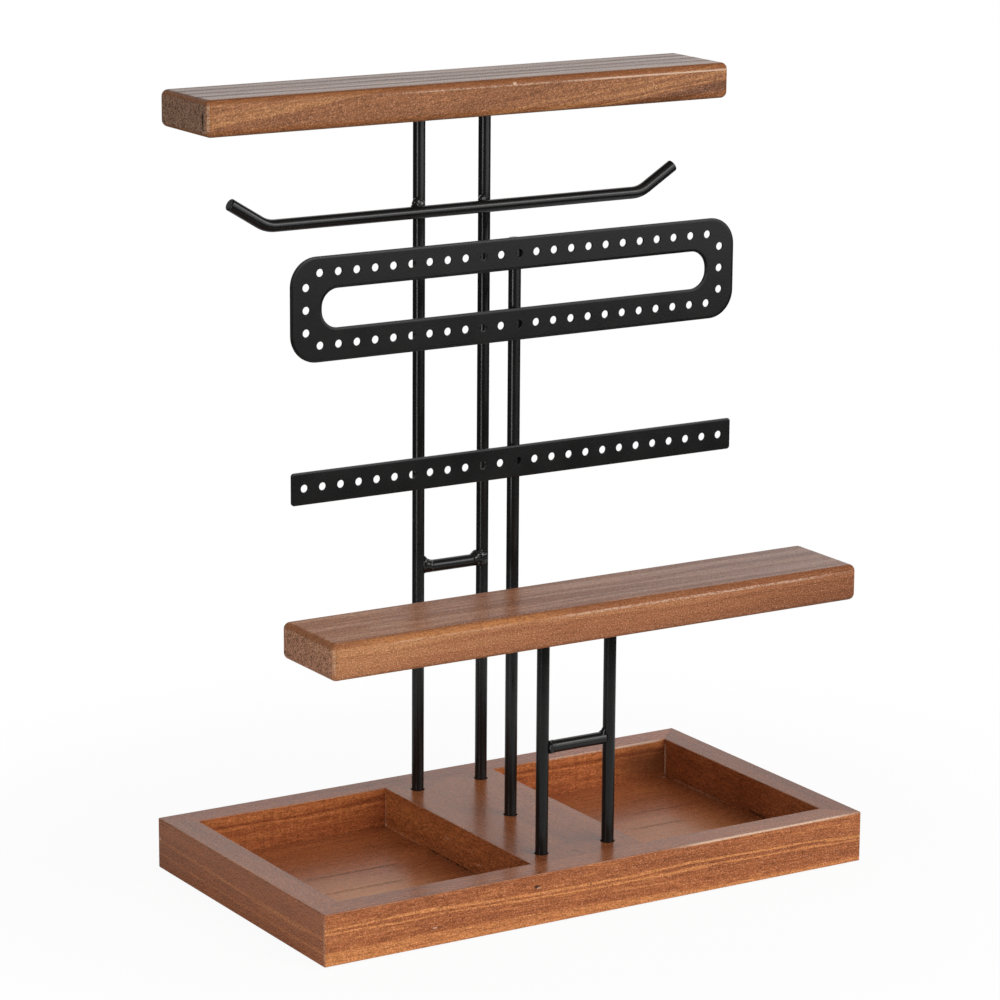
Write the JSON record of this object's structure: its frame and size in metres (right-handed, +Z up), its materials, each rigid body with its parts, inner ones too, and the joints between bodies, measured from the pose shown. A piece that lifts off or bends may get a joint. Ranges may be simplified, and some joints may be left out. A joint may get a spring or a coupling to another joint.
{
  "type": "jewelry stand",
  "caption": "Free-standing jewelry stand: a wooden tray with wells carries black steel rods, wooden shelves, a bent necklace bar, a slotted earring frame and a stud bar.",
  "frame": {"origin": "on the resting plane, under the middle of the tray", "axes": "+Z up, +X along the stand's length, -Y towards the user"},
  "size_m": [0.3, 0.165, 0.3801],
  "materials": {
    "tray_wood": "reddish-brown stain under satin lacquer",
    "floor_wood": "reddish-brown stain under satin lacquer",
    "shelf_wood": "reddish-brown stain under satin lacquer",
    "black_steel": "satin black powder coat",
    "screw_steel": "zinc plated",
    "foot_pad": "matte"
  },
  "bodies": {
    "root": {"tray_wall_front": "tray_wood", "tray_wall_back": "tray_wood", "tray_wall_left": "tray_wood", "tray_wall_right": "tray_wood", "tray_centre_block": "tray_wood", "tray_floor_panel": "floor_wood", "foot_pads": "foot_pad", "post_screws": "screw_steel", "rear_post_left": "black_steel", "rear_post_right": "black_steel", "rear_rung": "black_steel", "necklace_bar": "black_steel", "rear_frame_welds": "black_steel", "mast": "black_steel", "earring_frame": "black_steel", "stud_bar": "black_steel", "mast_welds": "black_steel", "front_post_left": "black_steel", "front_post_right": "black_steel", "front_rung": "black_steel", "front_frame_welds": "black_steel", "upper_shelf": "shelf_wood", "lower_shelf": "shelf_wood"}
  },
  "joints": []
}
